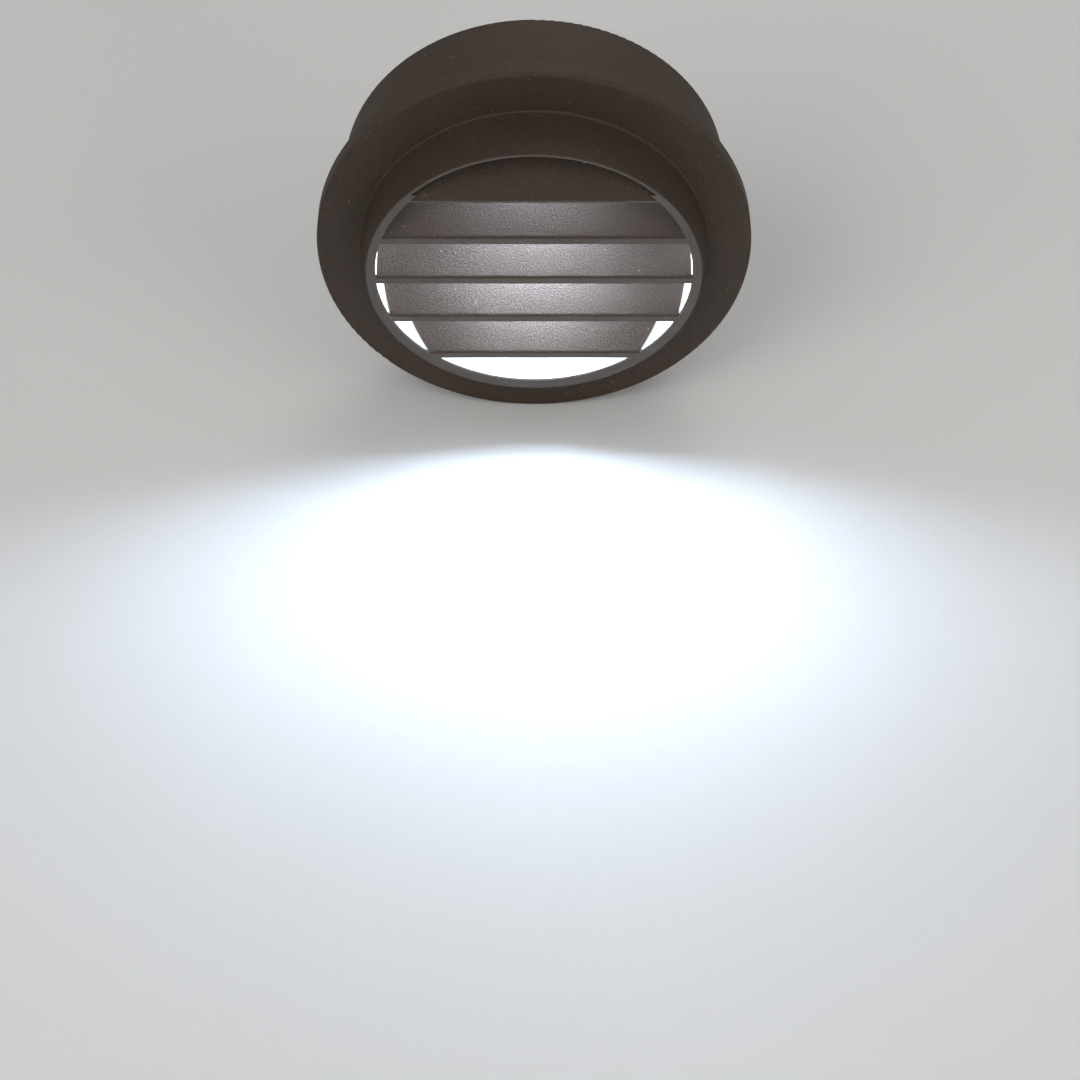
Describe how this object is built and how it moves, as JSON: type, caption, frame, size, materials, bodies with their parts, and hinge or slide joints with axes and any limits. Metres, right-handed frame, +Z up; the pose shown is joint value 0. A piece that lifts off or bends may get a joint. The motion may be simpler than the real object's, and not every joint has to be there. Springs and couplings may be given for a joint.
{
  "type": "deck light",
  "caption": "Round surface-mounted louvred deck or step light: drum on the wall, pull-off cover with hood and sloping blades, opal diffuser, light board and wiring inside.",
  "frame": {"origin": "middle of the two wall-screw slots, on the back face of the drum", "axes": "+Y into the wall, -Y the way the light looks, +Z up, +X to the right seen from the front"},
  "size_m": [0.16, 0.0624, 0.16],
  "materials": {
    "bronze_powder_coat": "fine-texture dark bronze powder coat on die-cast aluminium",
    "opal_polycarbonate": "opal, satin, lit from behind",
    "grey_silicone": "matt",
    "zinc_plated_steel": "bright zinc plate",
    "stainless_steel": "turned, plain",
    "black_foam_rubber": "closed-cell foam",
    "black_rubber": "moulded, matt",
    "black_nylon": "moulded, matt",
    "white_driver_case": "moulded, fine texture",
    "grey_polyamide": "moulded",
    "orange_lever": "moulded",
    "brass": "turned",
    "tinned_copper": "tinned, satin",
    "brown_insulation": "extruded",
    "blue_insulation": "extruded",
    "green_insulation": "extruded, green with a yellow stripe",
    "red_insulation": "extruded",
    "black_insulation": "extruded",
    "bare_aluminium": "rolled sheet",
    "blue_thermal_pad": "soft pad",
    "white_solder_mask": "lacquered board",
    "phosphor_yellow": "phosphor gel in a white frame",
    "white_polycarbonate": "moulded, satin"
  },
  "bodies": {
    "housing": {"drum_wall": "bronze_powder_coat", "drum_back": "bronze_powder_coat", "drum_bosses": "bronze_powder_coat", "wall_gasket": "black_foam_rubber", "cover_gasket": "grey_silicone", "cable_grommet": "black_rubber", "cable_clamp": "black_nylon", "clamp_screws": "stainless_steel", "led_driver": "white_driver_case", "driver_screws": "stainless_steel", "terminal_block": "grey_polyamide", "earth_screw": "brass", "earth_lug": "tinned_copper", "line_lead": "brown_insulation", "neutral_lead": "blue_insulation", "earth_lead": "green_insulation", "board_lead_plus": "red_insulation", "board_lead_minus": "black_insulation", "gear_tray": "bare_aluminium", "tray_screws": "stainless_steel", "thermal_pad": "blue_thermal_pad", "light_board": "white_solder_mask", "light_chips": "phosphor_yellow", "board_screws": "stainless_steel", "reflector": "white_polycarbonate"},
    "cover": {"cover_hood": "bronze_powder_coat", "cover_flange": "bronze_powder_coat", "cover_spigot": "bronze_powder_coat", "louvre_blade_1": "bronze_powder_coat", "louvre_blade_2": "bronze_powder_coat", "louvre_blade_3": "bronze_powder_coat", "louvre_blade_4": "bronze_powder_coat", "louvre_blade_5": "bronze_powder_coat", "diffuser": "opal_polycarbonate", "diffuser_gasket": "grey_silicone", "retaining_ring": "zinc_plated_steel", "ring_screws": "stainless_steel"},
    "lock_screw_bottom": {"lock_screw_1": "stainless_steel"},
    "lock_screw_right": {"lock_screw_2": "stainless_steel"},
    "lock_screw_left": {"lock_screw_3": "stainless_steel"},
    "line_lever": {"line_lever": "orange_lever"},
    "neutral_lever": {"neutral_lever": "orange_lever"},
    "earth_lever": {"earth_lever": "orange_lever"}
  },
  "joints": [
    {"name": "cover_pull", "type": "slide", "parent": "housing", "child": "cover", "axis": [0, -1, 0], "range_m": [0, 0.07]},
    {"name": "lock_screw_bottom_travel", "type": "slide", "parent": "housing", "child": "lock_screw_bottom", "axis": [0, 0, -1], "range_m": [0, 0.0021]},
    {"name": "lock_screw_right_travel", "type": "slide", "parent": "housing", "child": "lock_screw_right", "axis": [0.866, 0, 0.5], "range_m": [0, 0.0021]},
    {"name": "lock_screw_left_travel", "type": "slide", "parent": "housing", "child": "lock_screw_left", "axis": [-0.866, 0, 0.5], "range_m": [0, 0.0021]},
    {"name": "line_lever_swing", "type": "hinge", "parent": "housing", "child": "line_lever", "pos_m": [-0.0386, -0.0119, -0.0032], "axis": [-1, 0, 0], "range_deg": [0, 90]},
    {"name": "neutral_lever_swing", "type": "hinge", "parent": "housing", "child": "neutral_lever", "pos_m": [-0.033, -0.0119, -0.0032], "axis": [-1, 0, 0], "range_deg": [0, 90]},
    {"name": "earth_lever_swing", "type": "hinge", "parent": "housing", "child": "earth_lever", "pos_m": [-0.0274, -0.0119, -0.0032], "axis": [-1, 0, 0], "range_deg": [0, 90]}
  ]
}
